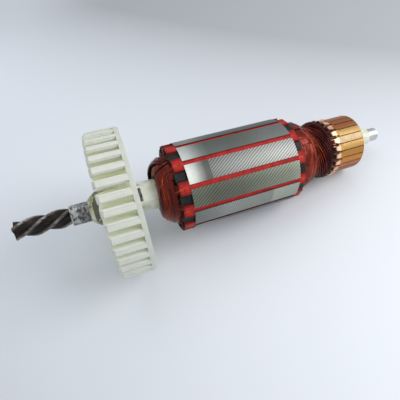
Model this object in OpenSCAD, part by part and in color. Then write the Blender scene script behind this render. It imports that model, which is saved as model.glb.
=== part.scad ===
// Armature of a universal motor for a hand power tool.
// Millimetres. The shaft lies along +X, drive end at -X, commutator end at +X.
// Origin: middle of the drive-end bearing journal. Angles about the shaft are
// counted from +Y towards +Z.

/* [Shaft] */
// Diameter of the drive-end bearing journal
journal_d = 12; // [11.6:0.1:12.4]
// Length of the drive-end bearing journal
journal_len = 10.6; // [9.6:0.2:11.4]
// Diameter over the teeth of the pinion cut on the shaft
pinion_d = 11.2; // [10.6:0.1:11.6]
// Diameter at the bottom of the pinion's flutes
pinion_root_d = 6.2; // [5.6:0.1:7]
// Length of the pinion
pinion_len = 30.8; // [26:0.2:34]
// Number of pinion teeth
pinion_teeth = 4; // [4:1:6]
// Length in which a pinion tooth goes once round (left hand)
pinion_lead = 52.4; // [46:0.2:70]
// Diameter of the shaft inside the fan and the sleeve
shaft_d = 12.5; // [12.5:0.1:13]
// Diameter of the commutator-end bearing journal
end_journal_d = 9; // [8.6:0.1:9.4]
// Length of the commutator-end bearing journal
end_journal_len = 8.5; // [7:0.5:10]

/* [Cooling fan] */
// Outer diameter of the fan
fan_d = 87; // [80:1:92]
// Width of the fan over blades and back plate
fan_w = 19.5; // [17:0.5:21]
// Number of fan blades
fan_blades = 38; // [30:1:40]
// Thickness of a fan blade
fan_blade_t = 2.7; // [1.8:0.1:2.8]
// Angle by which a blade leans back from the radius at its tip
fan_lean = 14; // [8:1:18]
// Diameter of the eye inside the blades
fan_eye_d = 56; // [48:1:62]
// Distance from the journal's middle to the back plate's outer face
fan_back_x = 32.3; // [31.5:0.1:33]

/* [Insulating sleeve] */
// Distance across the corners of the sleeve's hexagonal head
head_across_corners = 18.6; // [18.2:0.1:19.2]
// Length of the hexagonal head
head_len = 13; // [11:0.5:14]
// Outer diameter of the sleeve along the shaft
sleeve_d = 17; // [16.4:0.1:17.4]

/* [Core] */
// Diameter of the lamination stack
core_d = 54; // [53:0.2:55]
// Length of the lamination stack
core_len = 67.2; // [60:0.2:68.4]
// Distance from the journal's middle to the stack's drive-end face
core_x = 60.6; // [59.6:0.1:62]
// Width of a tooth's stem
tooth_w = 4.3; // [4:0.1:4.6]
// Width of a slot's opening between the tooth tips
slot_open = 2.8; // [2.2:0.1:3.4]

/* [Windings] */
// Length of the coil heads at the drive end
head_front = 16.2; // [16:0.2:17.4]
// Length of the coil heads at the commutator end
head_rear = 21.6; // [20.4:0.1:21.8]
// Length by which the slot liners stand out of the stack at the drive end
cuff_front = 6.2; // [5:0.1:6.6]
// Length by which the slot liners stand out of the stack at the commutator end
cuff_rear = 4.4; // [3.6:0.1:6]

/* [Commutator] */
// Diameter of the brush track
comm_d = 36.4; // [35.4:0.2:37.4]
// Distance from the journal's middle to the bars' winding-side end
comm_x = 157.6; // [157.2:0.1:158]
// Length of a bar with its hook
bar_len = 24.4; // [22:0.2:26]
// Width of the gap between two bars
bar_gap = 0.6; // [0.4:0.1:0.8]
// Angle by which the commutator is turned against the stack
comm_turn = -2; // [-7:0.5:7]

/* [Hidden] */
$fn = 96;
slots = 12;
bars = 2 * slots;
coil_pitch = 5;
levels = slots / 2;
slot_pitch = 360 / slots;
bar_pitch = 360 / bars;

pinion_x = -journal_len / 2 - pinion_len;
pinion_phase = 26.5;
pinion_bite = 0.3;
hub_x = journal_len / 2;
shaft_step_x = 150;
step_d = end_journal_d + 0.6;
sleeve_end_x = 198;
shaft_end_x = sleeve_end_x + end_journal_len;
shaft_chamfer = 0.8;
head_x = fan_back_x;
core_r = core_d / 2;
rear_x = core_x + core_len;
sleeve_r = sleeve_d / 2;

// slot section, measured outwards from the shaft's axis
slot_bottom = 15.5;
slot_shoulder = 24.3;
slot_lip = 25;
liner_t = 0.35;
liner_top = 23.4;
side_gap = 0.05;
coil_in = 15.9;
coil_mid = 19.5;
coil_out = 22.95;
layer_gap = 0.2;

// coil heads
arc_in = max(sleeve_r, head_across_corners / 2) + 0.4;
arc_out = 15.6;
first_level = 1.6;
riser_w = 3.2;
petal_angle = 27;
seam = 0.03;
// outermost coils: a dome from the sleeve to dome_r, its crown of an even thickness
dome_r = 20.8;
dome_run = 11.5;
crown_t = 2.3;
crown_in = arc_out + 0.3;
crown_r = 17;
neck_r = 16.8;
riser_gap = 0.15;
// ends of the windings, as [length of the heads, fall of their dome, its power, length of the cuffs]
FRONT_END = [head_front, 7.6, 3, cuff_front];
REAR_END = [head_rear, 7.5, 2, cuff_rear];

// folded ends of the slot liners and the insulator's fingers between them
cuff_wall = 0.6;
cuff_top = 26.5;
cuff_in = 19;
cuff_bend = 24.2;
cuff_gap = 0.3;
finger_w = tooth_w - 0.2;
finger_head_w = 4.8;

comm_r = comm_d / 2;
comm_bore = 7.5;
comm_end = comm_x + bar_len;
hook_t = 0.9;
hook_w = 3.9;
hook_tip_w = 1.5;
hook_len = 7.4;
gap_angle = bar_gap / comm_r * 180 / PI;
// dovetail under a bar, as [radius, distance from the winding-side end]
bar_foot = [[15.6, bar_len], [12.6, bar_len - 2.8], [12.6, bar_len - 4.8], [14.6, bar_len - 6],
    [14.6, 9], [12.6, 7.8], [12.6, 5.8], [15.6, 3]];

COILS = [for (k = [0:slots - 1]) str("coil_", k + 1)];
WEDGES = [for (k = [0:slots - 1]) str("slot_wedge_", k + 1)];
BARS = [for (k = [0:bars - 1]) str("commutator_bar_", k + 1)];

// angle of slot s and of commutator bar b about the shaft
function slot_angle(s) = (s + 0.5) * slot_pitch;
function bar_angle(b) = (b + 0.5) * bar_pitch + comm_turn;

// half the width of a slot at distance u from the axis, less a wall of thickness w
function slot_half(u, w) = u * tan(slot_pitch / 2) - (tooth_w / 2 + w) / cos(slot_pitch / 2);

// lays a shape drawn about Z along the shaft, its base at x
module along_x(x) translate([x, 0, 0]) rotate([0, 90, 0]) rotate(90) children();

// the same, turned end for end, so that it grows towards the drive end
module against_x(x) mirror([1, 0, 0]) along_x(-x) children();

// ---------------------------------------------------------------- shaft

// section through the pinion: broad teeth with round-bottomed flutes
module pinion_section() {
    root = pinion_root_d / 2;
    depth = pinion_d / 2 - root;
    steps = 8 * pinion_teeth;
    polygon([for (i = [0:steps - 1])
        let (a = 360 * i / steps, lift = pow((1 + cos(pinion_teeth * a)) / 2, 1.7))
        (root + depth * lift) * [cos(a), sin(a)]]);
}

module shaft() color([0.55, 0.55, 0.54]) {
    run = pinion_len + pinion_bite;
    c = shaft_chamfer;
    along_x(pinion_x) rotate(pinion_phase)
        linear_extrude(height = run, twist = 360 * run / pinion_lead, slices = 28, $fn = 24) pinion_section();
    along_x(-journal_len / 2) cylinder(d = journal_d, h = journal_len);
    along_x(hub_x) cylinder(d = shaft_d, h = shaft_step_x - hub_x);
    along_x(shaft_step_x) cylinder(d = step_d, h = sleeve_end_x - shaft_step_x);
    along_x(sleeve_end_x) cylinder(d = end_journal_d, h = end_journal_len - c);
    along_x(shaft_end_x - c) cylinder(d1 = end_journal_d, d2 = end_journal_d - 2 * c, h = c);
}

// ---------------------------------------------------------------- fan

// the fan's outline turned about the shaft: hub cone, eye, blade ends and back plate
module fan_envelope() {
    r = fan_d / 2;
    left = fan_back_x - fan_w;
    eye = fan_eye_d / 2;
    rotate_extrude() polygon([[eye, left + 3], [eye + 4, left], [r - 1.6, left], [r, left + 1.6],
        [r, fan_back_x - 1], [eye, fan_back_x - 1]]);
}

module fan_blades_section() difference() {
    reach = fan_d / 2 - fan_eye_d / 2 + 4;
    for (i = [0:fan_blades - 1])
        rotate(i * 360 / fan_blades + 3) translate([fan_d / 2, 0]) rotate(fan_lean)
            translate([-reach, -fan_blade_t / 2]) square([reach + 1, fan_blade_t]);
    circle(d = fan_eye_d - 2);
}

module cooling_fan() color([0.88, 0.88, 0.80]) {
    r = fan_d / 2;
    plate = 2.6;
    rim = 1.1;
    rim_step = 0.5;
    difference() {
        union() {
            intersection() {
                along_x(0) fan_envelope();
                along_x(fan_back_x - fan_w - 1) linear_extrude(height = fan_w + 1) fan_blades_section();
            }
            along_x(0) rotate_extrude() polygon([[2, hub_x], [6.7, hub_x], [8.3, hub_x + 1.8],
                [10.4, hub_x + 5], [10.8, fan_back_x - 9], [14, fan_back_x - 4.6], [26, fan_back_x - plate],
                [r, fan_back_x - plate], [r, fan_back_x - rim], [r - rim_step, fan_back_x - rim],
                [r - rim_step, fan_back_x], [30, fan_back_x], [26, fan_back_x - 0.8],
                [12, fan_back_x - 0.8], [10.5, fan_back_x], [2, fan_back_x]]);
        }
        along_x(hub_x - 1) cylinder(d = shaft_d, h = fan_back_x - hub_x + 2);
    }
}

// ---------------------------------------------------------------- insulating sleeve

module insulating_sleeve() color([0.86, 0.85, 0.76]) {
    pocket = [3.5, 8.2, 2];
    flat_r = head_across_corners / 2 * cos(30);
    difference() {
        union() {
            along_x(head_x) rotate(31) cylinder(d = head_across_corners, h = head_len, $fn = 6);
            along_x(head_x + head_len - 0.5) cylinder(r = sleeve_r, h = comm_x - head_x - head_len + 0.5);
            along_x(comm_x - 0.5) cylinder(r = comm_bore, h = bar_len + 0.5);
            along_x(comm_end - 0.5) cylinder(d = step_d + 1.4, h = sleeve_end_x - comm_end + 0.5);
        }
        // key pockets in two opposite flats
        for (side = [121, 301])
            rotate([side, 0, 0]) translate([head_x - 0.1, flat_r, 0])
                translate([0, -pocket[2], -pocket[1] / 2]) cube([pocket[0] + 0.1, pocket[2] + 1, pocket[1]]);
        along_x(head_x - 1) cylinder(d = shaft_d, h = shaft_step_x - head_x + 1);
        along_x(shaft_step_x - 1) cylinder(d = step_d, h = sleeve_end_x - shaft_step_x + 2);
    }
}

// ---------------------------------------------------------------- core and insulation

module slot_outline() {
    w = slot_half(slot_shoulder, 0);
    b = slot_half(slot_bottom, 0);
    o = slot_open / 2;
    polygon([[slot_bottom, -b], [slot_shoulder, -w], [slot_lip, -o], [core_r + 1, -o],
        [core_r + 1, o], [slot_lip, o], [slot_shoulder, w], [slot_bottom, b]]);
}

module lamination_stack() color([0.68, 0.69, 0.70])
    along_x(core_x) linear_extrude(height = core_len) difference() {
        circle(r = core_r);
        circle(r = sleeve_r);
        for (s = [0:slots - 1]) rotate(slot_angle(s)) slot_outline();
    }

// plate against the stack with a T-shaped finger on every tooth
module end_insulator(cuff) {
    plate = 1.4;
    finger_in = 16;
    finger_out = cuff_top - 0.9;
    a = finger_w / 2;
    b = finger_head_w / 2;
    linear_extrude(height = plate) {
        difference() {
            circle(r = slot_bottom - 0.1);
            circle(r = sleeve_r);
        }
        for (s = [0:slots - 1]) rotate(s * slot_pitch)
            translate([slot_bottom - 1.5, -a]) square([finger_out - slot_bottom + 1.5, 2 * a]);
    }
    for (s = [0:slots - 1]) rotate(s * slot_pitch) linear_extrude(height = cuff + 0.3)
        polygon([[finger_in, -a], [finger_out - 1.5, -a], [finger_out - 0.7, -b], [finger_out, -b],
            [finger_out, b], [finger_out - 0.7, b], [finger_out - 1.5, a], [finger_in, a]]);
}

module end_insulator_front() color([0.07, 0.11, 0.10]) against_x(core_x) end_insulator(cuff_front);

module end_insulator_rear() color([0.07, 0.11, 0.10]) along_x(rear_x) end_insulator(cuff_rear);

// closed paper tube in the slot
module liner_section() difference() {
    liner_outline(slot_bottom, liner_top, side_gap);
    liner_outline(slot_bottom + liner_t, liner_top - liner_t, side_gap + liner_t);
}

module liner_outline(lo, hi, w) polygon([[lo, -slot_half(lo, w)], [hi, -slot_half(hi, w)],
    [hi, slot_half(hi, w)], [lo, slot_half(lo, w)]]);

// folded end of the liner: a roof and two sides, open towards the shaft
module cuff_section() difference() {
    cuff_outline(cuff_in, cuff_top, 0);
    cuff_outline(cuff_in - 1, cuff_top - cuff_wall, cuff_wall);
}

// the sides follow the slot up to the bend and stand parallel above it
module cuff_outline(lo, hi, w) {
    a = slot_half(lo, cuff_gap + w);
    b = slot_half(cuff_bend, cuff_gap + w);
    polygon([[lo, -a], [cuff_bend, -b], [hi, -b], [hi, b], [cuff_bend, b], [lo, a]]);
}

module slot_liners() color([0.70, 0.13, 0.10])
    for (s = [0:slots - 1]) {
        along_x(core_x) rotate(slot_angle(s)) linear_extrude(height = core_len) liner_section();
        along_x(rear_x) rotate(slot_angle(s)) linear_extrude(height = cuff_rear) cuff_section();
        against_x(core_x) rotate(slot_angle(s)) linear_extrude(height = cuff_front) cuff_section();
    }

// strip that closes the slot's opening
module slot_wedge(s) color([0.72, 0.12, 0.10])
    along_x(core_x) rotate(slot_angle(s)) linear_extrude(height = core_len) {
        foot = slot_half(liner_top, side_gap);
        translate([liner_top, -foot]) square([slot_shoulder - liner_top, 2 * foot]);
        translate([liner_top, -slot_open / 2]) square([core_r - 0.8 - liner_top, slot_open]);
    }

// ---------------------------------------------------------------- windings

// A coil lies in slots k and k + 5. The coils are wound in turn, so each lies a level
// further out than the one before, and coils half a turn apart share a level.
function coil_level(k) = (k + 2) % levels;

module coil_leg(s, lo, hi) {
    a = coil_slot_half(lo);
    b = coil_slot_half(hi);
    along_x(core_x) rotate(slot_angle(s)) linear_extrude(height = core_len)
        polygon([[lo, -a], [hi, -b], [hi, b], [lo, a]]);
}

function coil_slot_half(u) = slot_half(u, side_gap + liner_t) - side_gap;

function lerp(a, b, f) = a + (b - a) * f;

// start and end of a level, measured from the stack's face
function level_pitch(end) = (end[0] - first_level + layer_gap) / levels;
function level_start(t, end) = first_level + t * level_pitch(end);
function level_end(t, end) = level_start(t, end) + level_pitch(end) - layer_gap;

// height of the outermost coils' dome at radius r, and of its underside
function dome(r, end) = end[0] - end[1] * pow((r - arc_in) / dome_run, end[2]);
function dome_under(r, end) = r > crown_r ? dome(r, end) - crown_t
    : lerp(level_start(levels - 1, end), dome(crown_r, end) - crown_t, (r - crown_in) / (crown_r - crown_in));

// height of a lower level at radius r: flat, and pressed down where the dome lies over it
function level_top(r, t, end) = min(level_end(t, end), dome_under(r, end) - riser_gap);

// outline, as [radius, height], of the side of a coil's head as it leaves its slot;
// the lower side turns in under the upper side of the other coil in the slot
function riser_outline(t, other, upper, end) =
    let (z0 = level_start(t, end), z1 = level_end(t, end), crown = t == levels - 1,
        edge = crown ? dome(coil_out, end) : min(z1, max(end[3] - 1, dome(coil_out, end) - crown_t)))
    upper
    ? concat([[coil_mid + layer_gap, 0], [neck_r + layer_gap, level_top(neck_r, other, end) + layer_gap],
        [arc_out + 0.5, z0], [arc_out - 2, z0], [arc_out - 2, crown ? dome(arc_out - 2, end) : z1]],
        [for (r = [crown_in, crown_r, 18.4, 20, dome_r]) [r, crown ? dome(r, end) : level_top(r, t, end)]],
        [[coil_out, edge], [coil_out, 0]])
    : [[coil_in, 0], [coil_in, z0], [arc_out - 2, z0], [arc_out - 2, z1], [arc_out + 0.2, z1],
        [neck_r, level_top(neck_r, t, end)], [coil_mid, 0]];

// the riser is narrow between the insulator's fingers and spreads beyond them
module riser(outline, cuff) {
    split = cuff + 0.5;
    intersection() {
        rotate([90, 0, 0]) linear_extrude(height = riser_w, center = true) polygon(outline);
        translate([arc_out - 1.7, -riser_w, 0]) cube([40, 2 * riser_w, split]);
    }
    intersection() {
        rotate(-petal_angle / 2) rotate_extrude(angle = petal_angle) polygon(outline);
        translate([0, -20, split]) cube([40, 40, 30]);
    }
}

// section through the head between the slots: a bundle round the sleeve, and on the outermost
// coils the dome that closes the winding
module head_section(t, end) {
    z0 = level_start(t, end) + seam;
    z1 = level_end(t, end) - seam;
    c = 0.5;
    if (t == levels - 1)
        polygon(concat([[arc_in, z0 + c], [arc_in, z1 - c]],
            [for (r = [arc_in + c, 11.5, 13.6, 15.6, crown_r, 18.4, 19.6, 20.6, dome_r])
                [r, dome(r, end) - seam]],
            [for (r = [dome_r, 20, 18.4, crown_r, crown_in]) [r, dome_under(r, end) + seam]],
            [[arc_in + c, z0]]));
    else
        polygon([[arc_in + c, z0], [arc_out - c, z0], [arc_out, z0 + c], [arc_out, z1 - c],
            [arc_out - c, z1], [arc_in + c, z1], [arc_in, z1 - c], [arc_in, z0 + c]]);
}

// one head of a coil, standing on the stack's face
module coil_head(a0, a1, t, upper0, upper1, other0, other1, end) {
    rotate(a0) rotate_extrude(angle = a1 - a0) head_section(t, end);
    rotate(a0) riser(riser_outline(t, other0, upper0, end), end[3]);
    rotate(a1) riser(riser_outline(t, other1, upper1, end), end[3]);
}

module coil(k) color([0.48, 0.14, 0.08]) {
    t = coil_level(k);
    after = (t + 1) % levels;
    before = (t + levels - 1) % levels;
    // in its first slot the coil meets the one before it, in its last slot the one after
    upper0 = t > after;
    upper1 = t > before;
    coil_leg(k, upper0 ? coil_mid + layer_gap : coil_in, upper0 ? coil_out : coil_mid);
    coil_leg(k + coil_pitch, upper1 ? coil_mid + layer_gap : coil_in, upper1 ? coil_out : coil_mid);
    along_x(rear_x)
        coil_head(slot_angle(k), slot_angle(k + coil_pitch), t, upper0, upper1, after, before, REAR_END);
    against_x(core_x)
        coil_head(slot_angle(k), slot_angle(k + coil_pitch), t, upper0, upper1, after, before, FRONT_END);
}

// ring of lead wires wound behind the coil heads, with a wire running to every gap between hooks
module coil_leads() color([0.30, 0.12, 0.08]) {
    start = rear_x + head_rear + 0.2;
    stop = comm_x - 0.4;
    span = stop - start;
    wire_r = 0.55;
    wire_x = comm_x - 1.6;
    along_x(start) rotate_extrude() polygon([[sleeve_r, 0], [12.4, 0], [13.4, 0.15 * span],
        [15.4, 0.3 * span], [17.2, 0.45 * span], [18.4, 0.65 * span], [18.8, 0.82 * span],
        [17.4, span], [sleeve_r, span]]);
    for (b = [0:bars - 1]) rotate([bar_angle(b) + bar_pitch / 2, 0, 0]) translate([0, 17.6, 0])
        along_x(wire_x) cylinder(r = wire_r, h = comm_x + 4.2 - wire_x, $fn = 24);
}

// ---------------------------------------------------------------- commutator

// bar: brush track, dovetail foot, and a hook bent over the wires at the winding side
module commutator_bar(b) color([0.80, 0.52, 0.25])
    along_x(comm_x) rotate(bar_angle(b)) {
        w = bar_pitch - gap_angle;
        seat = comm_r - 1.3;
        rotate(-w / 2) rotate_extrude(angle = w) polygon(concat([[15.6, 0.6], [seat, 0.6], [seat, 4.4],
            [comm_r, 5.2], [comm_r, bar_len - 0.5], [comm_r - 0.5, bar_len]], bar_foot));
        intersection() {
            rotate([90, 0, 0]) linear_extrude(height = hook_w, center = true)
                polygon([[15.6, 0], [18.2, 0], [19.2, 0.8], [19.35, 1.8], [18.95, hook_len], [18.3, hook_len],
                    [18.35, 2.2], [17.9, 1.3], [seat, hook_t], [15.6, hook_t]]);
            rotate([90, 0, 90]) linear_extrude(height = 30)
                polygon([[-hook_tip_w / 2, -1], [hook_tip_w / 2, -1], [hook_w / 2, hook_len],
                    [hook_w / 2, hook_len + 1], [-hook_w / 2, hook_len + 1], [-hook_w / 2, hook_len]]);
        }
    }

// moulding between sleeve and bars, with a web in every gap
module commutator_moulding() color([0.16, 0.11, 0.08]) {
    web = comm_r - 0.6;
    collar = 0.6;
    along_x(comm_x) rotate_extrude() polygon(concat([[comm_bore, 1], [15.6, 1]],
        [for (i = [7:-1:0]) bar_foot[i]],
        [[15, bar_len], [14.6, bar_len + collar], [comm_bore, bar_len + collar]]));
    for (b = [0:bars - 1]) along_x(comm_x) rotate(bar_angle(b) + bar_pitch / 2 - gap_angle / 2)
        rotate_extrude(angle = gap_angle) polygon(concat([[15.6, 1.2], [16.4, 1.2], [16.4, 4.6],
            [web, 5.4], [web, bar_len - 0.2], [15.6, bar_len - 0.2]], [for (i = [1:7]) bar_foot[i]]));
}

shaft();
cooling_fan();
insulating_sleeve();
lamination_stack();
end_insulator_front();
end_insulator_rear();
slot_liners();
coil_leads();
commutator_moulding();
for (k = [0:slots - 1]) {
    coil(k);
    slot_wedge(k);
}
for (b = [0:bars - 1])
    commutator_bar(b);
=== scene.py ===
import math
import random
import bmesh
import bpy
from mathutils import Matrix, Vector


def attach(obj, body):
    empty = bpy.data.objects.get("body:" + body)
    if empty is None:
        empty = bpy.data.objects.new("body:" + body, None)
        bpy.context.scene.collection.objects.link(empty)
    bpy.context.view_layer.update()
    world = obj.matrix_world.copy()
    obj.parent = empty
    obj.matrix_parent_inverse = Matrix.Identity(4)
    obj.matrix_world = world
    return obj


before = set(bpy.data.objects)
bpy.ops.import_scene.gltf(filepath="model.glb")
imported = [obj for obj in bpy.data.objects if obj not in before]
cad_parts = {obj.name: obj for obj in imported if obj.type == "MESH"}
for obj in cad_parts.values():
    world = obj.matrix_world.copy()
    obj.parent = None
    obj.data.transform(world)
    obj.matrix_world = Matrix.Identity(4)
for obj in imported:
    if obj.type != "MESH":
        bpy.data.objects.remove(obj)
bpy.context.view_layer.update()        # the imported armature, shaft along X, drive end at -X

dice = random.Random(7)
mm = 0.001
print("armature loaded,", len(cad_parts), "nodes")

# camera
cameraSet = {"place": (0.0247, -0.13009, 0.14982), "aim": (0.06781, -0.01444, 0.0), "lean": 0.094,
             "lens": 29.19, "sensor": 36, "nearest": 0.005}


def makeCamera(want):
    lens = bpy.data.cameras.new("camera")
    lens.lens = want["lens"]
    lens.sensor_width = want["sensor"]
    lens.clip_start = want["nearest"]
    camera = bpy.data.objects.new("camera", lens)
    bpy.context.collection.objects.link(camera)
    look = Vector(want["aim"]) - Vector(want["place"])
    lean = Matrix.Rotation(math.radians(want["lean"]), 4, "Z")
    turn = look.to_track_quat("-Z", "Y").to_matrix().to_4x4() @ lean
    camera.matrix_world = Matrix.Translation(want["place"]) @ turn
    bpy.context.scene.camera = camera


makeCamera(cameraSet)
bpy.context.scene.view_settings.view_transform = "Standard"
print("camera set")


# node helpers
def addNode(tree, kind, values=None, **settings):
    made = tree.nodes.new(kind)
    for name, value in settings.items():
        setattr(made, name, value)
    for key, value in (values or {}).items():
        if isinstance(value, bpy.types.NodeSocket):
            tree.links.new(value, made.inputs[key])
        elif value is not None:
            made.inputs[key].default_value = value
    return made


def calc(tree, how, a, b=None, c=None, clamp=False):
    return addNode(tree, "ShaderNodeMath", {0: a, 1: b, 2: c}, operation=how, use_clamp=clamp).outputs[0]


def fade(tree, value, low, high, outLow=0.0, outHigh=1.0):    # soft step from low to high
    made = addNode(tree, "ShaderNodeMapRange", {"Value": value, "From Min": low, "From Max": high,
                                                "To Min": outLow, "To Max": outHigh}, interpolation_type="SMOOTHSTEP")
    return made.outputs["Result"]


def blend(tree, amount, one, other, how="MIX"):
    made = addNode(tree, "ShaderNodeMix", {0: amount, 6: one, 7: other}, data_type="RGBA", blend_type=how)
    return made.outputs[2]


def ramp(tree, value, stops, how="LINEAR"):
    made = addNode(tree, "ShaderNodeValToRGB", {0: value})
    made.color_ramp.interpolation = how
    points = made.color_ramp.elements
    while len(points) < len(stops):
        points.new(1.0)
    for point, (place, colour) in zip(points, stops):
        point.position = place
        point.color = (*colour, 1.0)
    return made.outputs[0]


def noise(tree, vector, scale, detail, rough=0.5):
    made = addNode(tree, "ShaderNodeTexNoise", {"Vector": vector, "Scale": scale, "Detail": detail,
                                                "Roughness": rough})
    return made.outputs[0]


def makeGroup(name, ins, outs):
    tree = bpy.data.node_groups.new(name, "ShaderNodeTree")
    for title, kind, value in ins:
        socket = tree.interface.new_socket(title, in_out="INPUT", socket_type="NodeSocket" + kind)
        if value is not None:
            socket.default_value = value
    for title, kind in outs:
        tree.interface.new_socket(title, in_out="OUTPUT", socket_type="NodeSocket" + kind)
    return tree, tree.nodes.new("NodeGroupInput").outputs, tree.nodes.new("NodeGroupOutput").inputs


def useGroup(tree, group, values):
    made = tree.nodes.new("ShaderNodeGroup")
    made.node_tree = group
    for key, value in values.items():
        if isinstance(value, bpy.types.NodeSocket):
            tree.links.new(value, made.inputs[key])
        else:
            made.inputs[key].default_value = value
    return made.outputs


# place on the shaft: distance along it and out from it in mm, and turn about it in degrees from +Y to +Z;
# Unrolled lays the three out flat
def makeShaftPlace():
    tree, given, out = makeGroup("shaftPlace", [("Vector", "Vector", None)],
                                 [("Along", "Float"), ("Out", "Float"), ("Turn", "Float"), ("Unrolled", "Vector")])
    split = addNode(tree, "ShaderNodeSeparateXYZ", {0: given["Vector"]}).outputs
    along = calc(tree, "MULTIPLY", split[0], 1000.0)
    y, z = split[1], split[2]
    outward = calc(tree, "MULTIPLY", calc(tree, "SQRT", calc(tree, "ADD", calc(tree, "MULTIPLY", y, y),
                                                             calc(tree, "MULTIPLY", z, z))), 1000.0)
    turn = calc(tree, "MULTIPLY", calc(tree, "ARCTAN2", z, y), 180 / math.pi)
    turn = calc(tree, "MODULO", calc(tree, "ADD", turn, 360.0), 360.0)
    tree.links.new(along, out["Along"])
    tree.links.new(outward, out["Out"])
    tree.links.new(turn, out["Turn"])
    flat = addNode(tree, "ShaderNodeCombineXYZ", {0: along, 1: calc(tree, "MULTIPLY", turn, 0.4), 2: outward})
    tree.links.new(flat.outputs[0], out["Unrolled"])
    return tree


# dark specks and smears of dirt, as two masks
def makeDirt():
    tree, given, out = makeGroup("dirt", [("Vector", "Vector", None), ("Speck Size", "Float", 1.0),
                                          ("Amount", "Float", 0.5)], [("Specks", "Float"), ("Smears", "Float")])
    scale = calc(tree, "DIVIDE", 900.0, given["Speck Size"])
    spots = noise(tree, given["Vector"], scale, 3.0, 0.6)
    edge = calc(tree, "SUBTRACT", 0.78, calc(tree, "MULTIPLY", given["Amount"], 0.2))
    specks = fade(tree, spots, edge, calc(tree, "ADD", edge, 0.05))
    cloud = noise(tree, given["Vector"], calc(tree, "DIVIDE", 130.0, given["Speck Size"]), 4.0, 0.65)
    smears = calc(tree, "MULTIPLY", fade(tree, cloud, 0.42, 0.72), given["Amount"])
    tree.links.new(specks, out["Specks"])
    tree.links.new(smears, out["Smears"])
    return tree


# fine scratches that run round the shaft or along it, as a mask
def makeScratches():
    tree, given, out = makeGroup("scratches", [("Vector", "Vector", None), ("Across", "Vector", (1.0, 0.05, 1.0)),
                                               ("Scale", "Float", 6.0)], [("Mask", "Float")])
    stretched = addNode(tree, "ShaderNodeVectorMath", {0: given["Vector"], 1: given["Across"]}, operation="MULTIPLY")
    fine = noise(tree, stretched.outputs[0], given["Scale"], 4.0, 0.7)
    tree.links.new(fine, out["Mask"])
    return tree


shaftPlace, dirt, scratches = makeShaftPlace(), makeDirt(), makeScratches()


def startMaterial(name):
    material = bpy.data.materials.new(name)
    material.use_nodes = True
    tree = material.node_tree
    tree.nodes.clear()
    shader = tree.nodes.new("ShaderNodeBsdfPrincipled")
    end = tree.nodes.new("ShaderNodeOutputMaterial")
    tree.links.new(shader.outputs[0], end.inputs[0])
    place = addNode(tree, "ShaderNodeTexCoord").outputs["Object"]
    return material, tree, shader.inputs, place


def bump(tree, shader, height, depth, strength):
    made = addNode(tree, "ShaderNodeBump", {"Height": height, "Distance": depth, "Strength": strength})
    tree.links.new(made.outputs[0], shader["Normal"])


def dress(material, *names):
    for name in names:
        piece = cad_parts[name]
        for slot in piece.material_slots:
            slot.material = material
        if not piece.material_slots:
            piece.data.materials.append(material)


print("node groups ready")

# shaft steel
shaftLook = {"flute": [(0.30, (0.006, 0.005, 0.006)), (0.55, (0.020, 0.014, 0.012)), (0.75, (0.075, 0.045, 0.030))],
             "crest": (0.38, 0.34, 0.30), "crestDark": (0.15, 0.115, 0.095),
             "journal": (0.34, 0.34, 0.34), "journalDark": (0.20, 0.20, 0.20), "journalPale": (0.62, 0.62, 0.61),
             "band": (0.095, 0.09, 0.09), "polish": (0.66, 0.66, 0.64), "smear": (0.10, 0.095, 0.09),
             "speck": (0.05, 0.045, 0.04), "stub": (0.80, 0.80, 0.80), "stubGrain": (0.34, 0.34, 0.35),
             "stubDark": (0.13, 0.13, 0.14), "rough": 0.38, "ringPitch": 1.3, "fluteTop": (4.5, 5.5),
             "pinionEnds": (-5.5, -5.2), "polishEnds": (-1.6, -0.6), "stubStarts": (100.0, 101.0)}    # places in mm


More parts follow.
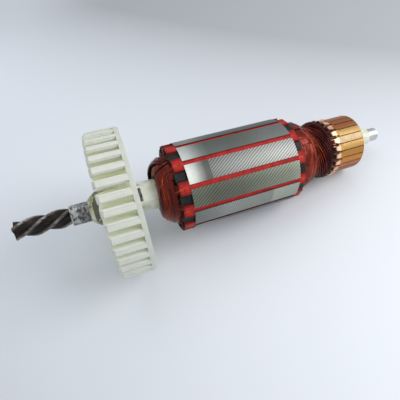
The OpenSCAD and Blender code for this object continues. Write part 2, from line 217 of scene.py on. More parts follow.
def makeShaftSteel(look):
    material, tree, shader, place = startMaterial("shaftSteel")
    at = useGroup(tree, shaftPlace, {"Vector": place})
    soil = useGroup(tree, dirt, {"Vector": place, "Speck Size": 1.4, "Amount": 0.7})
    grain = useGroup(tree, scratches, {"Vector": at["Unrolled"], "Across": (0.5, 2.2, 0.3), "Scale": 1.1})["Mask"]
    onPinion = fade(tree, at["Along"], *look["pinionEnds"], 1.0, 0.0)
    rust = noise(tree, at["Unrolled"], 0.22, 4.0, 0.7)
    flute = ramp(tree, rust, look["flute"])
    crestMask = calc(tree, "MULTIPLY", fade(tree, at["Out"], *look["fluteTop"]), fade(tree, rust, 0.30, 0.50))
    bruise = fade(tree, noise(tree, place, 210.0, 3.0), 0.38, 0.60)
    crestTone = blend(tree, bruise, look["crest"] + (1.0,), look["crestDark"] + (1.0,))
    pinionTone = blend(tree, crestMask, flute, crestTone)
    worn = [(0.30, look["journalDark"]), (0.5, look["journal"]), (0.75, look["journalPale"])]
    journalTone = ramp(tree, grain, worn)
    streak = addNode(tree, "ShaderNodeVectorMath", {0: at["Unrolled"], 1: (0.55, 0.12, 0.2)}, operation="MULTIPLY")
    band = noise(tree, streak.outputs[0], 1.0, 3.0, 0.6)
    journalTone = blend(tree, fade(tree, band, 0.42, 0.56), look["band"] + (1.0,), journalTone)
    polish = fade(tree, at["Along"], *look["polishEnds"], 1.0, 0.0)
    polish = calc(tree, "MULTIPLY", polish, fade(tree, band, 0.36, 0.5))
    journalTone = blend(tree, calc(tree, "MULTIPLY", polish, 0.7), journalTone, look["polish"] + (1.0,))
    journalTone = blend(tree, soil["Smears"], journalTone, look["smear"] + (1.0,))
    journalTone = blend(tree, soil["Specks"], journalTone, look["speck"] + (1.0,))
    stubTone = ramp(tree, grain, [(0.33, look["stubGrain"]), (0.6, look["stub"])])
    ring = calc(tree, "SINE", calc(tree, "MULTIPLY", at["Along"], 2 * math.pi / look["ringPitch"]))
    stubTone = blend(tree, fade(tree, ring, 0.5, 0.9, 0.0, 0.55), stubTone, look["stubDark"] + (1.0,))
    bare = blend(tree, fade(tree, at["Along"], *look["stubStarts"]), journalTone, stubTone)
    tree.links.new(blend(tree, onPinion, bare, pinionTone), shader["Base Color"])
    tree.links.new(calc(tree, "SUBTRACT", 0.95, calc(tree, "MULTIPLY", onPinion, 0.35)), shader["Metallic"])
    tree.links.new(fade(tree, grain, 0.2, 0.8, look["rough"] - 0.08, look["rough"] + 0.14), shader["Roughness"])
    bump(tree, shader, grain, 0.00006, 0.7)
    return material


# moulded plastics
fanLook = {"clean": (0.72, 0.735, 0.635), "rim": (0.58, 0.60, 0.54), "stained": (0.77, 0.79, 0.60),
           "glow": (0.62, 0.63, 0.50), "glowStrength": 0.17, "hub": (0.50, 0.49, 0.27),
           "dirt": (0.10, 0.085, 0.05), "mouth": (0.035, 0.022, 0.018),
           "deepOut": (36.0, 42.6), "glowOut": (17.0, 26.0), "rimAlong": (29.6, 30.2), "hubOut": (13.0, 17.0),
           "hubAlong": (16.0, 26.0), "mouthOut": (11.6, 12.6), "mouthAlong": (7.3, 7.9),
           "mouthFades": (11.0, 15.0)}    # places in mm
sleeveLook = {"clean": (0.79, 0.80, 0.71), "stained": (0.66, 0.68, 0.53), "dirt": (0.14, 0.13, 0.08),
              "pocketAlong": (34.5, 36.2), "pocketOut": (7.8, 8.3)}    # places in mm


def makeFanPlastic(look):
    material, tree, shader, place = startMaterial("fanPlastic")
    at = useGroup(tree, shaftPlace, {"Vector": place})
    soil = useGroup(tree, dirt, {"Vector": place, "Speck Size": 1.0, "Amount": 0.42})
    cloud = noise(tree, place, 60.0, 3.0)
    deep = fade(tree, at["Out"], *look["deepOut"], 1.0, 0.0)
    # deep under the rim the colour turns yellower in patches: partly stain, partly painted light coming through the
    # thin plastic
    stainAndLightThrough = calc(tree, "MULTIPLY", deep, fade(tree, cloud, 0.30, 0.55), clamp=True)
    tone = blend(tree, stainAndLightThrough, look["clean"] + (1.0,), look["stained"] + (1.0,))
    tone = blend(tree, fade(tree, at["Along"], *look["rimAlong"]), tone, look["rim"] + (1.0,))
    nearHub = fade(tree, at["Out"], *look["hubOut"], 1.0, 0.0)
    nearHub = calc(tree, "MULTIPLY", nearHub, fade(tree, at["Along"], *look["hubAlong"], 1.0, 0.0))
    grime = noise(tree, place, 190.0, 3.0, 0.6)
    hubTone = ramp(tree, grime, [(0.30, look["dirt"]), (0.42, look["hub"]), (0.66, look["stained"])])
    tone = blend(tree, nearHub, tone, hubTone)
    # painted shade, patchy: dark on the hub cone where it runs in under the blades
    mouth = fade(tree, at["Along"], *look["mouthAlong"])
    mouth = calc(tree, "MULTIPLY", mouth, fade(tree, at["Out"], *look["mouthOut"], 1.0, 0.0))
    mouth = calc(tree, "MULTIPLY", mouth, fade(tree, grime, 0.40, 0.48))
    mouth = calc(tree, "MULTIPLY", mouth, fade(tree, at["Along"], *look["mouthFades"], 0.85, 0.0))
    tone = blend(tree, mouth, tone, look["mouth"] + (1.0,))
    tone = blend(tree, calc(tree, "MULTIPLY", soil["Smears"], 0.18), tone, look["dirt"] + (1.0,))
    tone = blend(tree, soil["Specks"], tone, look["dirt"] + (1.0,))
    tree.links.new(tone, shader["Base Color"])
    shader["Roughness"].default_value = 0.42
    shader["Specular IOR Level"].default_value = 0.4
    shader["Subsurface Weight"].default_value = 0.45
    shader["Subsurface Radius"].default_value = (1.0, 1.0, 0.6)
    shader["Subsurface Scale"].default_value = 0.004
    # stands in for the light that comes through the thin plastic
    seen = calc(tree, "MULTIPLY", deep, fade(tree, at["Out"], *look["glowOut"]))
    glow = blend(tree, seen, (0.0, 0.0, 0.0, 1.0), look["glow"] + (1.0,))
    tree.links.new(glow, shader["Emission Color"])
    shader["Emission Strength"].default_value = look["glowStrength"]
    bump(tree, shader, noise(tree, place, 700.0, 2.0), 0.00004, 0.5)
    return material


def makeSleevePlastic(look):
    material, tree, shader, place = startMaterial("sleevePlastic")
    at = useGroup(tree, shaftPlace, {"Vector": place})
    soil = useGroup(tree, dirt, {"Vector": place, "Speck Size": 0.9, "Amount": 0.5})
    patch = fade(tree, noise(tree, place, 150.0, 3.0, 0.6), 0.42, 0.62)
    tone = blend(tree, patch, look["clean"] + (1.0,), look["stained"] + (1.0,))
    # painted shade: darker deep in the key pockets, using the dirt colour
    pocketShade = fade(tree, at["Along"], *look["pocketAlong"], 1.0, 0.0)
    pocketShade = calc(tree, "MULTIPLY", pocketShade, fade(tree, at["Out"], *look["pocketOut"], 1.0, 0.0))
    tone = blend(tree, pocketShade, tone, look["dirt"] + (1.0,))
    tone = blend(tree, calc(tree, "MULTIPLY", soil["Smears"], 0.3), tone, look["dirt"] + (1.0,))
    tree.links.new(tone, shader["Base Color"])
    shader["Roughness"].default_value = 0.38
    shader["Subsurface Weight"].default_value = 0.2
    shader["Subsurface Scale"].default_value = 0.0015
    bump(tree, shader, noise(tree, place, 900.0, 2.0), 0.00004, 0.5)
    return material


# core: five kinds of tooth face in turn, each with tones along it and its own slanting tool lines; the tones are
# partly the ground finish and partly painted highlights and reflections, lightest near the fan end of two of the
# faces
coreLook = {"start": 60.6, "length": 67.2, "radius": 27, "spacing": 30.0, "slotOut": (26.55, 26.9),
            "slotShade": (0.02, 0.02, 0.02),
            "faces": [{"tonesAndSheen": [(0.0, 0.18), (0.1, 0.17), (0.2, 0.14), (0.32, 0.145), (0.45, 0.16), (0.6, 0.21),
                                 (0.75, 0.25), (0.9, 0.28), (1.0, 0.35)],
                       "from": 0.0, "slope": 0.85, "pitch": 1.6, "depth": 0.32, "tint": (1.0, 1.03, 0.85)},
                      {"tonesAndSheen": [(0.0, 0.21), (0.1, 0.23), (0.17, 0.25), (0.23, 0.28), (0.32, 0.32), (0.6, 0.30),
                                 (0.735, 0.29), (0.74, 0.42), (1.0, 0.40)],
                       "from": 0.0, "slope": 2.4, "pitch": 1.5, "depth": 0.24, "tint": (1.0, 1.02, 0.98)},
                      {"tonesAndSheen": [(0.0, 0.28), (0.06, 0.32), (0.11, 0.34), (0.17, 0.28), (0.23, 0.23), (0.32, 0.18),
                                 (0.70, 0.17), (1.0, 0.17)],
                       "from": 0.0, "slope": 0.1, "pitch": 0.9, "depth": 0.12, "tint": (1.0, 0.99, 0.99)},
                      {"tonesAndSheen": [(0.0, 0.60), (0.06, 0.52), (0.12, 0.34), (0.18, 0.21), (0.24, 0.15), (0.45, 0.14),
                                 (0.6, 0.165), (0.75, 0.20), (1.0, 0.21)],
                       "from": 0.10, "slope": 0.12, "pitch": 0.85, "depth": 0.13, "tint": (0.98, 1.03, 1.0)},
                      {"tonesAndSheen": [(0.0, 0.68), (0.03, 0.66), (0.065, 0.55), (0.11, 0.29), (0.16, 0.11), (0.203, 0.10),
                                 (0.208, 0.17), (0.32, 0.20), (0.44, 0.215), (0.59, 0.24), (0.74, 0.26), (0.85, 0.27),
                                 (1.0, 0.26)],
                       "from": 0.207, "slope": 0.70, "pitch": 1.36, "depth": 0.42, "tint": (0.99, 1.01, 0.985)}]}


def makeCoreSteel(look):
    material, tree, shader, place = startMaterial("coreSteel")
    at = useGroup(tree, shaftPlace, {"Vector": place})
    share = calc(tree, "DIVIDE", calc(tree, "SUBTRACT", at["Along"], look["start"]), look["length"])
    tooth = calc(tree, "DIVIDE", calc(tree, "ADD", at["Turn"], look["spacing"] / 2), look["spacing"])
    tooth = calc(tree, "FLOOR", tooth)
    tooth = calc(tree, "MODULO", tooth, float(len(look["faces"])))
    around = calc(tree, "MULTIPLY", at["Turn"], look["radius"] * math.pi / 180)
    wobble = noise(tree, at["Unrolled"], 0.12, 2.0)
    tone, cut = None, None
    for number, face in enumerate(look["faces"]):
        mine = calc(tree, "COMPARE", tooth, float(number), 0.4)
        shade = ramp(tree, share, [(spot, tuple(v * part for part in face["tint"])) for spot, v in face["tonesAndSheen"]])
        lean = math.atan(face["slope"])
        course = calc(tree, "ADD", calc(tree, "MULTIPLY", around, math.cos(lean)),
                      calc(tree, "MULTIPLY", at["Along"], math.sin(lean)))
        course = calc(tree, "ADD", course, calc(tree, "MULTIPLY", wobble, 1.2))
        wave = calc(tree, "SINE", calc(tree, "MULTIPLY", course, 2 * math.pi / face["pitch"]))
        begun = fade(tree, share, face["from"] - 0.004, face["from"] + 0.004)
        line = calc(tree, "MULTIPLY", calc(tree, "MULTIPLY", wave, face["depth"]), begun)
        shadeCut = calc(tree, "MULTIPLY", line, mine)
        cut = shadeCut if cut is None else calc(tree, "ADD", cut, shadeCut)
        tone = shade if tone is None else blend(tree, mine, tone, shade)
    grain = useGroup(tree, scratches, {"Vector": at["Unrolled"], "Across": (2.6, 0.5, 1.0), "Scale": 1.3})["Mask"]
    factor = calc(tree, "ADD", calc(tree, "ADD", 1.0, cut), fade(tree, grain, 0.25, 0.75, -0.14, 0.14))
    worked = addNode(tree, "ShaderNodeVectorMath", {0: tone, "Scale": factor}, operation="SCALE").outputs[0]
    cloud = fade(tree, noise(tree, place, 45.0, 3.0), 0.4, 0.65)
    tint = blend(tree, cloud, (1.0, 1.0, 0.98, 1.0), (0.90, 0.96, 0.86, 1.0))
    worked = blend(tree, 1.0, worked, tint, "MULTIPLY")
    # painted shade inside the slots, below the tooth faces
    inSlot = fade(tree, at["Out"], *look["slotOut"], 1.0, 0.0)
    tree.links.new(blend(tree, inSlot, worked, look["slotShade"] + (1.0,)), shader["Base Color"])
    tree.links.new(calc(tree, "SUBTRACT", 0.9, calc(tree, "MULTIPLY", inSlot, 0.6)), shader["Metallic"])
    tree.links.new(fade(tree, grain, 0.2, 0.8, 0.42, 0.58), shader["Roughness"])
    bump(tree, shader, calc(tree, "ADD", grain, calc(tree, "MULTIPLY", cut, 0.8)), 0.00005, 0.7)
    return material


# red slot paper and dark insulators
paperLook = {"cuff": {"light": (0.40, 0.016, 0.011), "dark": (0.13, 0.007, 0.006), "fibre": (1.0, 1.0, 1.0),
                      "crownHighlight": (0.56, 0.065, 0.028), "front": (54.6, 55.6), "rear": (131.2, 132.2)},
             "wedge": {"light": (0.42, 0.018, 0.017), "dark": (0.17, 0.007, 0.008), "fibre": (0.25, 2.0, 1.0)}}


def makePaper(name, look):
    material, tree, shader, place = startMaterial(name)
    at = useGroup(tree, shaftPlace, {"Vector": place})
    thread = useGroup(tree, scratches, {"Vector": at["Unrolled"], "Across": look["fibre"], "Scale": 0.9})["Mask"]
    cloud = noise(tree, place, 260.0, 4.0, 0.7)
    amount = calc(tree, "ADD", calc(tree, "MULTIPLY", thread, 0.5), calc(tree, "MULTIPLY", cloud, 0.5))
    pale = tuple(min(1, c * 1.25) for c in look["light"])
    tone = ramp(tree, amount, [(0.36, look["dark"]), (0.50, look["light"]), (0.68, pale)])
    if "crownHighlight" in look:    # painted shade towards its sides and ends, painted highlight along its crown
        side = calc(tree, "ABSOLUTE", calc(tree, "SUBTRACT", calc(tree, "MODULO", at["Turn"], 30.0), 15.0))
        tone = blend(tree, calc(tree, "MULTIPLY", fade(tree, side, 4.6, 7.2), 0.75), tone, look["dark"] + (1.0,))
        front = fade(tree, at["Along"], *look["front"], 1.0, 0.0)
        rear = fade(tree, at["Along"], *look["rear"])
        ends = calc(tree, "ADD", front, rear, clamp=True)
        tone = blend(tree, calc(tree, "MULTIPLY", ends, 0.8), tone, look["dark"] + (1.0,))
        crown = calc(tree, "MULTIPLY", fade(tree, side, 0.5, 2.6, 1.0, 0.0), fade(tree, cloud, 0.42, 0.62))
        tone = blend(tree, calc(tree, "MULTIPLY", crown, 0.8), tone, look["crownHighlight"] + (1.0,))
    tree.links.new(tone, shader["Base Color"])
    shader["Roughness"].default_value = 0.55
    shader["Specular IOR Level"].default_value = 0.2
    bump(tree, shader, amount, 0.00025, 0.6)
    return material


def makeInsulator():
    material, tree, shader, place = startMaterial("darkInsulator")
    grain = noise(tree, place, 500.0, 3.0, 0.6)
    tone = ramp(tree, grain, [(0.35, (0.004, 0.006, 0.006)), (0.62, (0.012, 0.018, 0.016))])
    tree.links.new(tone, shader["Base Color"])
    shader["Roughness"].default_value = 0.55
    shader["Specular IOR Level"].default_value = 0.25
    bump(tree, shader, grain, 0.0001, 0.5)
    return material


# enamelled wire; leads: two places along the shaft, and what is added to the tone before and after them
wireLook = {"red": [(0.30, (0.050, 0.004, 0.003)), (0.48, (0.125, 0.010, 0.005)), (0.60, (0.21, 0.018, 0.007)),
                    (0.74, (0.40, 0.065, 0.020))],
            "dark": [(0.30, (0.012, 0.002, 0.003)), (0.50, (0.045, 0.006, 0.006)), (0.66, (0.11, 0.012, 0.009)),
                     (0.80, (0.30, 0.060, 0.022))],
            "orange": [(0.28, (0.085, 0.007, 0.004)), (0.45, (0.25, 0.024, 0.008)), (0.60, (0.44, 0.070, 0.018)),
                       (0.76, (0.60, 0.19, 0.06))],
            "leads": (150.0, 154.5, 0.16, -0.05)}


def makeEnamel(name, stops, lighter=None):
    material, tree, shader, place = startMaterial(name)
    at = useGroup(tree, shaftPlace, {"Vector": place})
    strand = addNode(tree, "ShaderNodeVectorMath", {0: at["Unrolled"], 1: (1.9, 0.16, 1.9)}, operation="MULTIPLY")
    pick = noise(tree, strand.outputs[0], 0.62, 2.0, 0.6)
    varnish = noise(tree, place, 90.0, 3.0, 0.6)
    amount = calc(tree, "ADD", calc(tree, "MULTIPLY", pick, 0.68), calc(tree, "MULTIPLY", varnish, 0.32))
    if lighter:
        amount = calc(tree, "ADD", amount, fade(tree, at["Along"], *lighter))
    tree.links.new(ramp(tree, amount, stops), shader["Base Color"])
    shader["Metallic"].default_value = 0.5
    shader["Roughness"].default_value = 0.28
    shader["Specular IOR Level"].default_value = 0.25
    shader["Coat Weight"].default_value = 0.07
    shader["Coat Roughness"].default_value = 0.12
    bump(tree, shader, noise(tree, place, 1500.0, 2.0), 0.00003, 0.4)
    return material


# commutator; the tones that repeat round its bars are painted highlights and reflections, under the copper's tool
# lines and tarnish
copperLook = {"tonesAndSheen": [(0.335, 0.25, 0.145), (0.56, 0.34, 0.115), (0.53, 0.245, 0.065), (0.58, 0.25, 0.062),
                        (0.46, 0.19, 0.085), (0.38, 0.145, 0.060), (0.38, 0.135, 0.055), (0.38, 0.25, 0.095)],
              "hook": (0.92, 0.62, 0.42), "hookDull": (0.62, 0.29, 0.17), "root": (0.050, 0.016, 0.011),
              "line": (0.26, 0.10, 0.035), "tarnish": (0.30, 0.115, 0.045),
              "hookStarts": 159.1, "hookEnds": 163.4, "bars": 24, "first": -2.0}


def makeCopper(look):
    material, tree, shader, place = startMaterial("turnedCopper")
    at = useGroup(tree, shaftPlace, {"Vector": place})
    turned = calc(tree, "SUBTRACT", calc(tree, "ADD", at["Turn"], 360.0), look["first"])
    turned = calc(tree, "DIVIDE", turned, 360.0 / look["bars"])
    steps = len(look["tonesAndSheen"])
    bar = calc(tree, "MODULO", calc(tree, "FLOOR", turned), float(steps))
    tone = ramp(tree, calc(tree, "DIVIDE", calc(tree, "ADD", bar, 0.5), float(steps)),
                [(n / steps, colour) for n, colour in enumerate(look["tonesAndSheen"])], "CONSTANT")
    grain = useGroup(tree, scratches, {"Vector": at["Unrolled"], "Across": (3.2, 0.16, 1.0), "Scale": 1.2})["Mask"]
    tone = blend(tree, fade(tree, grain, 0.45, 0.75, 0.0, 0.5), tone, look["line"] + (1.0,))
    tarnish = noise(tree, place, 160.0, 4.0, 0.6)
    tone = blend(tree, fade(tree, tarnish, 0.52, 0.75, 0.0, 0.45), tone, look["tarnish"] + (1.0,))
    onHook = fade(tree, at["Along"], look["hookEnds"] - 0.8, look["hookEnds"] + 0.4, 1.0, 0.0)
    hookTone = blend(tree, fade(tree, tarnish, 0.45, 0.7), look["hook"] + (1.0,), look["hookDull"] + (1.0,))
    bent = fade(tree, calc(tree, "ADD", at["Along"], tarnish), look["hookStarts"] + 0.4, look["hookStarts"] + 2.0)
    hookTone = blend(tree, bent, look["root"] + (1.0,), hookTone)
    tree.links.new(blend(tree, onHook, tone, hookTone), shader["Base Color"])
    shader["Metallic"].default_value = 0.96
    tree.links.new(fade(tree, grain, 0.2, 0.8, 0.40, 0.56), shader["Roughness"])
    bump(tree, shader, grain, 0.00005, 0.7)
    return material


def makeMoulding():
    material, tree, shader, place = startMaterial("brownMoulding")
    grain = noise(tree, place, 400.0, 4.0, 0.6)
    tone = ramp(tree, grain, [(0.35, (0.018, 0.011, 0.007)), (0.65, (0.070, 0.042, 0.020))])
    tree.links.new(tone, shader["Base Color"])
    shader["Roughness"].default_value = 0.5
    bump(tree, shader, grain, 0.0001, 0.5)
    return material


redWire, darkWire, orangeWire = (makeEnamel(kind + "Enamel", wireLook[kind]) for kind in ("red", "dark", "orange"))
leadWire, leadRed = (makeEnamel(kind + "LeadEnamel", wireLook[kind], wireLook["leads"]) for kind in ("dark", "red"))
dress(makeShaftSteel(shaftLook), "shaft")
fanPlastic = makeFanPlastic(fanLook)
dress(fanPlastic, "cooling_fan")
dress(makeSleevePlastic(sleeveLook), "insulating_sleeve")
dress(makeCoreSteel(coreLook), "lamination_stack")
dress(makePaper("cuffPaper", paperLook["cuff"]), "slot_liners")
dress(makePaper("wedgePaper", paperLook["wedge"]), *["slot_wedge_%d" % n for n in range(1, 13)])
dress(makeInsulator(), "end_insulator_front", "end_insulator_rear")
dress(makeCopper(copperLook), *["commutator_bar_%d" % n for n in range(1, 25)])
dress(makeMoulding(), "commutator_moulding")
dress(redWire, *["coil_%d" % n for n in range(1, 13)])
dress(leadWire, "coil_leads")
print("materials on every part")

# wires: a piece is a bundle of strands, and each strand takes one of the bundle's enamels; slotProfile: height over
# the core's face, place outwards and spread
wireSet = {"thick": 0.78, "steps": 3, "strands": 28, "strays": 12, "sleeveGap": 10.3, "domeEdge": 20.8,
           "domeStart": 9.7, "domeWidth": 11.5, "reach": 75.0, "slotLow": 20.4, "slotHigh": 22.5,
           "spread": 20.0, "slotSpread": 9.0, "beltStrands": 14, "slotStrands": 8,
           "slots": {"front": (0, 1, 4, 5, 6, 7, 10, 11), "rear": (0, 1, 2, 3, 4, 5, 6, 7, 8, 9, 10, 11)},
           "slotProfile": ((0.3, 22.5, 9.5), (2.5, 22.55, 9.5), (4.6, 22.5, 10.0), (6.4, 22.0, 13.0),
                           (7.6, 21.0, 17.0), (8.6, 19.4, 20.0))}
headSet = {"front": {"face": 60.6, "way": -1, "top": 16.2, "fall": 7.6, "power": 3, "belt": (6.6, 8.6),
                     "lift": (-0.3, 0.9), "rise": 1.0},
           "rear": {"face": 127.8, "way": 1, "top": 21.6, "fall": 7.5, "power": 2, "belt": (5.0, 13.0),
                    "lift": (0.0, 0.0), "rise": 1.25}}


def domeHeight(head, out, want):
    return head["top"] - head["fall"] * (max(0.0, out - want["domeStart"]) / want["domeWidth"]) ** head["power"]


def onShaft(along, out, turn):
    return Vector((along * mm, out * math.cos(math.radians(turn)) * mm, out * math.sin(math.radians(turn)) * mm))


def makeStrands(name, paths, thick, materials, shares):
    curve = bpy.data.curves.new(name, "CURVE")
    curve.dimensions = "3D"
    curve.bevel_depth = thick * mm / 2
    curve.bevel_resolution = 1
    curve.use_fill_caps = True
    for material in materials:
        curve.materials.append(material)
    for path in paths:
        strand = curve.splines.new("NURBS")
        strand.points.add(len(path) - 1)
        for point, spot in zip(strand.points, path):
            point.co = (*spot, 1.0)
        strand.order_u = 4
        strand.use_endpoint_u = True
        strand.resolution_u = wireSet["steps"]
        strand.use_smooth = True
        strand.material_index = dice.choices(range(len(materials)), shares)[0]
    bundle = bpy.data.objects.new(name, curve)
    bpy.context.collection.objects.link(bundle)
    bpy.ops.object.select_all(action="DESELECT")
    bundle.select_set(True)
    bpy.context.view_layer.objects.active = bundle
    bpy.ops.object.convert(target="MESH")
    bundle = bpy.context.active_object
    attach(bundle, "root")


def headPath(head, middle, share, lift, want):    # one turn over a coil's head, from slot to slot
    low = want["sleeveGap"] + (want["domeEdge"] - want["sleeveGap"]) * share
    mouth = want["slotLow"] + (want["slotHigh"] - want["slotLow"]) * dice.random()
    end = want["reach"] + (share - 0.5) * want["spread"]
    leave = end - math.degrees(math.acos(min(1.0, low / mouth)))
    slot = want["reach"] + (share - 0.5) * want["slotSpread"]
    path = []
    for side in (-1, 1):
        arm = []
        for n in range(9):
            turn = side * end * n / 8
            out = min(mouth, low / math.cos(math.radians(max(0.0, abs(turn) - leave))))
            out += dice.uniform(-0.12, 0.12)
            arm.append((domeHeight(head, out, want) + lift, out, middle + turn))
        foot = arm[-1]
        for drop, near in ((0.72, 0.5), (0.40, 0.15), (0.08, 0.0)):
            turn = side * (slot + (end - slot) * near)
            arm.append((foot[0] * drop, foot[1] + 0.25, middle + turn + dice.uniform(-0.5, 0.5)))
        path = arm[::-1] if side < 0 else path + arm[1:]
    return [onShaft(head["face"] + head["way"] * height, out, turn) for height, out, turn in path]


def beltPath(head, middle, share):    # a turn that lies round the outside of the heads
    low, high = head["belt"]
    height = low + (high - low) * share
    out = 22.9 - 1.7 * share ** 2
    path = [(0.3, 22.4, middle - 77.0), (height * 0.6, 22.6, middle - 74.0)]
    for n in range(13):
        path.append((height + dice.uniform(-0.25, 0.25), out + dice.uniform(-0.15, 0.15),
                     middle - 68.0 + n * 136.0 / 12))
    path += [(height * 0.6, 22.6, middle + 74.0), (0.3, 22.4, middle + 77.0)]
    return [onShaft(head["face"] + head["way"] * height, out, turn) for height, out, turn in path]


def slotPath(head, turn, share, want):    # a turn coming out of a slot and going in under the dome
    path = []
    for height, out, spread in want["slotProfile"]:
        path.append((height * head["rise"], out + dice.uniform(-0.2, 0.2), turn + (share - 0.5) * spread))
    return [onShaft(head["face"] + head["way"] * height, out, spot) for height, out, spot in path]


def makeWinding(want):
    for side, head in headSet.items():
        for coil, middle, enamels, shares in ((4, 180.0, (redWire, darkWire, orangeWire), (6, 3, 3)),
                                              (10, 0.0, (darkWire, redWire), (7, 2))):
            lift = head["lift"][0 if coil == 4 else 1]
            paths = [headPath(head, middle, (n + 0.5) / want["strands"], lift, want)
                     for n in range(want["strands"])]
            paths += [headPath(head, middle, dice.uniform(0.05, 0.98), lift + 0.4, want)
                      for n in range(want["strays"])]
            makeStrands("headStrands_%s_%d" % (side, coil), paths, want["thick"], enamels, shares)
            if side == "rear":
                count = want["beltStrands"]
                belt = [beltPath(head, middle, (n + 0.5) / count) for n in range(count)]
                makeStrands("beltStrands_%d" % coil, belt, want["thick"], (orangeWire, redWire), (5, 3))
        paths = []
        count = want["slotStrands"]
        for slot in want["slots"][side]:
            paths += [slotPath(head, (slot + 0.5) * 30.0, (n + 0.5) / count, want) for n in range(count)]
        makeStrands("slotStrands_" + side, paths, want["thick"], (redWire, darkWire, orangeWire), (4, 5, 2))


leadSet = {"thick": 0.62, "wires": 48, "wrap": 165.0, "gaps": 24, "first": -2.0, "pair": 0.9, "steps": 22,
           "hookGap": (162.0, 17.75),
           "profile": ((144.6, 18.9), (146.6, 17.4), (148.8, 16.6), (151.0, 16.7), (152.8, 17.7), (154.4, 18.8),
                       (155.8, 19.2), (157.0, 18.9), (158.2, 18.1))}


def makeLeads(want):    # each lead winds round behind the heads and ends in a gap between two hooks
    profile = want["profile"]
    paths = []
    for n in range(want["wires"]):
        gap = want["first"] + (n // 2) * 360.0 / want["gaps"] + (want["pair"] if n % 2 else -want["pair"])
        lift = dice.uniform(-0.25, 0.25)
        path = []
        for k in range(want["steps"] + 1):
            share = k / want["steps"] * (len(profile) - 1)
            low = min(int(share), len(profile) - 2)
            part = share - low
            along = profile[low][0] + (profile[low + 1][0] - profile[low][0]) * part
            out = profile[low][1] + (profile[low + 1][1] - profile[low][1]) * part + lift + dice.uniform(-0.08, 0.08)
            back = want["wrap"] * (1 - k / want["steps"]) ** 1.1
            path.append((along, out, gap - back))
        path.append((159.6, want["hookGap"][1], gap))
        path.append((want["hookGap"][0], want["hookGap"][1], gap))
        paths.append([onShaft(*spot) for spot in path])
    makeStrands("leadStrands", paths, want["thick"], (leadWire, leadRed), (6, 4))


makeWinding(wireSet)
makeLeads(leadSet)

# softer, broader ends on the fan's blades; cuts: place along and limit outwards, halves: depth under the rim
# and half width
bladeSet = {"count": 38, "first": 3.0, "lean": 14.0, "rim": 43.5,
            "cuts": ((12.85, 41.7), (13.4, 42.5), (14.5, 43.32), (14.9, 43.32), (29.3, 43.32), (29.8, 43.32)),
            "halves": ((8.0, 1.25), (5.5, 1.50), (3.4, 1.85), (1.9, 2.10), (1.0, 2.12), (0.45, 1.95),
                       (0.15, 1.60), (0.0, 1.10))}


def makeBladeEnds(want):
    mesh = bmesh.new()
    lean = math.radians(want["lean"])
    for blade in range(want["count"]):
        turn = math.radians(blade * 360.0 / want["count"] + want["first"])
        outline = list(want["halves"]) + [(deep, -half) for deep, half in reversed(want["halves"])]
        loops = []
        for along, limit in want["cuts"]:
            loop = []
            for deep, half in outline:
                radial = want["rim"] - deep * math.cos(lean) - half * math.sin(lean)
                across = -deep * math.sin(lean) + half * math.cos(lean)
                out, spot = min(limit, math.hypot(radial, across)), turn + math.atan2(across, radial)
                loop.append(mesh.verts.new((along * mm, out * math.cos(spot) * mm, out * math.sin(spot) * mm)))
            loops.append(loop)
        size = len(outline)
        for near, far in zip(loops, loops[1:]):
            for n in range(size):
                mesh.faces.new((near[n], near[(n + 1) % size], far[(n + 1) % size], far[n])).smooth = True
        mesh.faces.new(loops[0][::-1])
        mesh.faces.new(loops[-1])
    bmesh.ops.recalc_face_normals(mesh, faces=mesh.faces)
    data = bpy.data.meshes.new("bladeEnds")
    mesh.to_mesh(data)
    mesh.free()
    data.materials.append(fanPlastic)
    ends = bpy.data.objects.new("bladeEnds", data)
    bpy.context.collection.objects.link(ends)
    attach(ends, "root")


makeBladeEnds(bladeSet)
print("blade ends on")

# table and light
tableSet = {"fanEdge": (0.0323, 0.0435), "coreEdge": (0.1278, 0.027), "size": 4.0,
            "colour": (0.725, 0.750, 0.797), "middle": (0.10, 0.12, 0.0), "fades": (0.27, 0.50), "limits": (0.6, 1.2),
            "shade": (1.0916, 0.524, 0.564, -4.45, -9.49, -2.70)}    # even, then by x, y, xx, xy and yy in metres


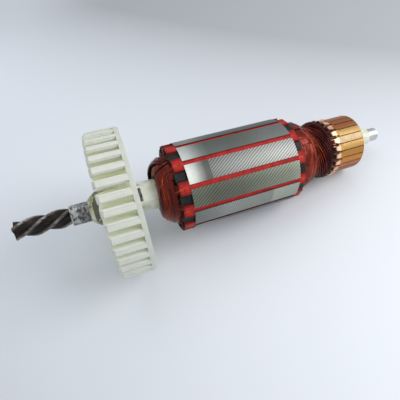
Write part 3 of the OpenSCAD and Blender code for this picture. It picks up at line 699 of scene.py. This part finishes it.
def makeTable(want):
    (x1, r1), (x2, r2) = want["fanEdge"], want["coreEdge"]
    lean = math.atan2(r1 - r2, x2 - x1)
    bpy.ops.object.select_all(action="DESELECT")
    bpy.ops.mesh.primitive_plane_add(size=want["size"])
    table = bpy.context.active_object
    table.name = "table"
    table.data.transform(Matrix.Translation((x1, 0, -r1)) @ Matrix.Rotation(-lean, 4, "Y"))
    material, tree, shader, at = startMaterial("tableTop")
    mottle = noise(tree, at, 3.0, 2.0)
    tone = ramp(tree, mottle, [(0.3, tuple(0.985 * c for c in want["colour"])), (0.7, want["colour"])])
    spot = addNode(tree, "ShaderNodeSeparateXYZ", {0: at}).outputs
    # painted light and shade across the table: a factor on its colour by place, even again away from the middle
    shade = want["shade"][0]
    for share, (a, b) in zip(want["shade"][1:], ((0, None), (1, None), (0, 0), (0, 1), (1, 1))):
        part = spot[a] if b is None else calc(tree, "MULTIPLY", spot[a], spot[b])
        shade = calc(tree, "ADD", shade, calc(tree, "MULTIPLY", part, share))
    least, most = want["limits"]
    shade = calc(tree, "MINIMUM", calc(tree, "MAXIMUM", shade, least), most)
    far = addNode(tree, "ShaderNodeVectorMath", {0: at, 1: want["middle"]}, operation="DISTANCE").outputs["Value"]
    near = fade(tree, far, *want["fades"], 1.0, 0.0)
    shade = calc(tree, "ADD", 1.0, calc(tree, "MULTIPLY", calc(tree, "SUBTRACT", shade, 1.0), near))
    tone = addNode(tree, "ShaderNodeVectorMath", {0: tone, "Scale": shade}, operation="SCALE").outputs[0]
    tree.links.new(tone, shader["Base Color"])
    shader["Roughness"].default_value = 0.6
    table.data.materials.append(material)


lampSet = {"window": {"at": (0.52, -0.22, 0.50), "aim": (0.09, 0.0, 0.0), "size": 0.5, "power": 3.0,
                      "colour": (1.0, 0.985, 0.96)},
           "ceiling": {"at": (0.05, 0.35, 0.75), "aim": (0.09, 0.0, 0.0), "size": 0.7, "power": 0.9,
                       "colour": (1.0, 1.0, 1.0)}}


def makeLamp(name, want):
    lamp = bpy.data.lights.new(name, "AREA")
    lamp.shape, lamp.size, lamp.energy, lamp.color = "DISK", want["size"], want["power"], want["colour"]
    holder = bpy.data.objects.new(name, lamp)
    bpy.context.collection.objects.link(holder)
    look = Vector(want["aim"]) - Vector(want["at"])
    holder.matrix_world = Matrix.Translation(want["at"]) @ look.to_track_quat("-Z", "Y").to_matrix().to_4x4()


roomSet = {"colour": (0.90, 0.95, 1.0, 1.0), "strength": 0.64}


def makeRoom(want):
    world = bpy.data.worlds.new("room")
    bpy.context.scene.world = world
    world.use_nodes = True
    sky = world.node_tree.nodes["Background"].inputs
    sky["Color"].default_value = want["colour"]
    sky["Strength"].default_value = want["strength"]


makeTable(tableSet)
for name, want in lampSet.items():
    makeLamp(name, want)
makeRoom(roomSet)
print("table and lamps set")
